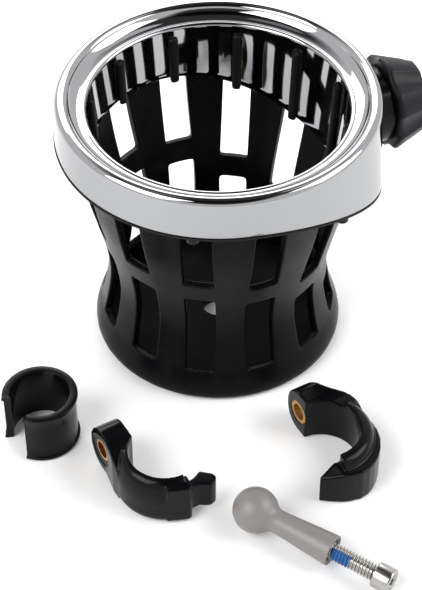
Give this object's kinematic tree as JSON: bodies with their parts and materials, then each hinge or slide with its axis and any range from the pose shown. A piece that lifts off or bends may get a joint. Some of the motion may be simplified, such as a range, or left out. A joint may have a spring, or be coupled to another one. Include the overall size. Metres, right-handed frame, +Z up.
{
  "type": "tube clamp cup holder",
  "caption": "Drink holder with a chrome ring over a slotted waisted basket, a lobed ball-joint collar on its side, and a loose split tube clamp, reducing sleeve and ball stud with screw.",
  "frame": {"origin": "centre of the drain hole at the underside of the basket's foot, on the floor", "axes": "+Z up along the basket's axis, +X out through the axis of the collar nut and ball socket"},
  "size_m": [0.1802, 0.2158, 0.1118],
  "materials": {
    "chrome_ring": "polished",
    "rim_rubber": "matte",
    "basket_plastic": "semi-gloss moulded",
    "small_screw_steel": "zinc plated",
    "grip_rubber": "satin",
    "mat_rubber": "matte",
    "socket_plastic": "semi-gloss moulded",
    "back_nut_steel": "zinc plated",
    "socket_screw_steel": "zinc plated",
    "collet_plastic": "matte moulded",
    "collar_plastic": "fine moulded grain",
    "collar_lip_plastic": "matte moulded",
    "sleeve_plastic": "gloss moulded",
    "clamp_a_plastic": "gloss moulded",
    "bush_brass": "turned",
    "clamp_b_plastic": "gloss moulded",
    "bush_b_brass": "turned, darkened",
    "stud_grey": "satin, fine grain",
    "insert_steel": "zinc plated",
    "cap_screw_steel": "stainless",
    "patch_blue": "matte coating"
  },
  "bodies": {
    "holder": {"ring_casting": "chrome_ring", "rim_trim": "rim_rubber", "basket": "basket_plastic", "basket_screws": "small_screw_steel", "grip_strips": "grip_rubber", "floor_mat": "mat_rubber", "socket_base": "socket_plastic", "socket_back_nut": "back_nut_steel", "socket_screw": "socket_screw_steel", "socket_collet": "collet_plastic"},
    "collar_slip_ring": {"collar_lip": "collar_lip_plastic"},
    "collar": {"collar_nut": "collar_plastic"},
    "sleeve": {"split_sleeve": "sleeve_plastic"},
    "tongue_half": {"clamp_tongue_half": "clamp_a_plastic", "bush_a": "bush_brass"},
    "slot_half": {"clamp_slot_half": "clamp_b_plastic", "bush_b": "bush_b_brass"},
    "stud": {"ball_stud": "stud_grey", "stud_insert": "insert_steel"},
    "screw_patch": {"lock_patch": "patch_blue"},
    "screw": {"clamp_screw": "cap_screw_steel"}
  },
  "joints": [
    {"name": "collar_travel", "type": "slide", "parent": "holder", "child": "collar_slip_ring", "axis": [1, 0, 0], "range_m": [0, 0.0026]},
    {"name": "collar_turn", "type": "hinge", "parent": "collar_slip_ring", "child": "collar", "pos_m": [0.0662, 0, 0.089], "axis": [1, 0, 0], "range_deg": [0, 450]},
    {"name": "sleeve_lift", "type": "slide", "parent": "holder", "child": "sleeve", "axis": [0, 0, 1], "range_m": [0, 0.12]},
    {"name": "tongue_half_lift", "type": "slide", "parent": "holder", "child": "tongue_half", "axis": [0, 0, 1], "range_m": [0, 0.12]},
    {"name": "slot_half_lift", "type": "slide", "parent": "holder", "child": "slot_half", "axis": [0, 0, 1], "range_m": [0, 0.12]},
    {"name": "stud_lift", "type": "slide", "parent": "holder", "child": "stud", "axis": [0, 0, 1], "range_m": [0, 0.12]},
    {"name": "screw_travel", "type": "slide", "parent": "stud", "child": "screw_patch", "axis": [-0.5981, 0.7995, 0.0558], "range_m": [-0.0077, 0.0103]},
    {"name": "screw_turn", "type": "hinge", "parent": "screw_patch", "child": "screw", "pos_m": [-0.00288, -0.13938, 0.00627], "axis": [-0.5981, 0.7995, 0.0558], "range_deg": [-2160, 2880]}
  ],
  "couplings": [
    {"joint": "collar_travel", "follows": "collar_turn", "m_per_rad": 0.00031831},
    {"joint": "screw_travel", "follows": "screw_turn", "m_per_rad": 0.00020213}
  ]
}
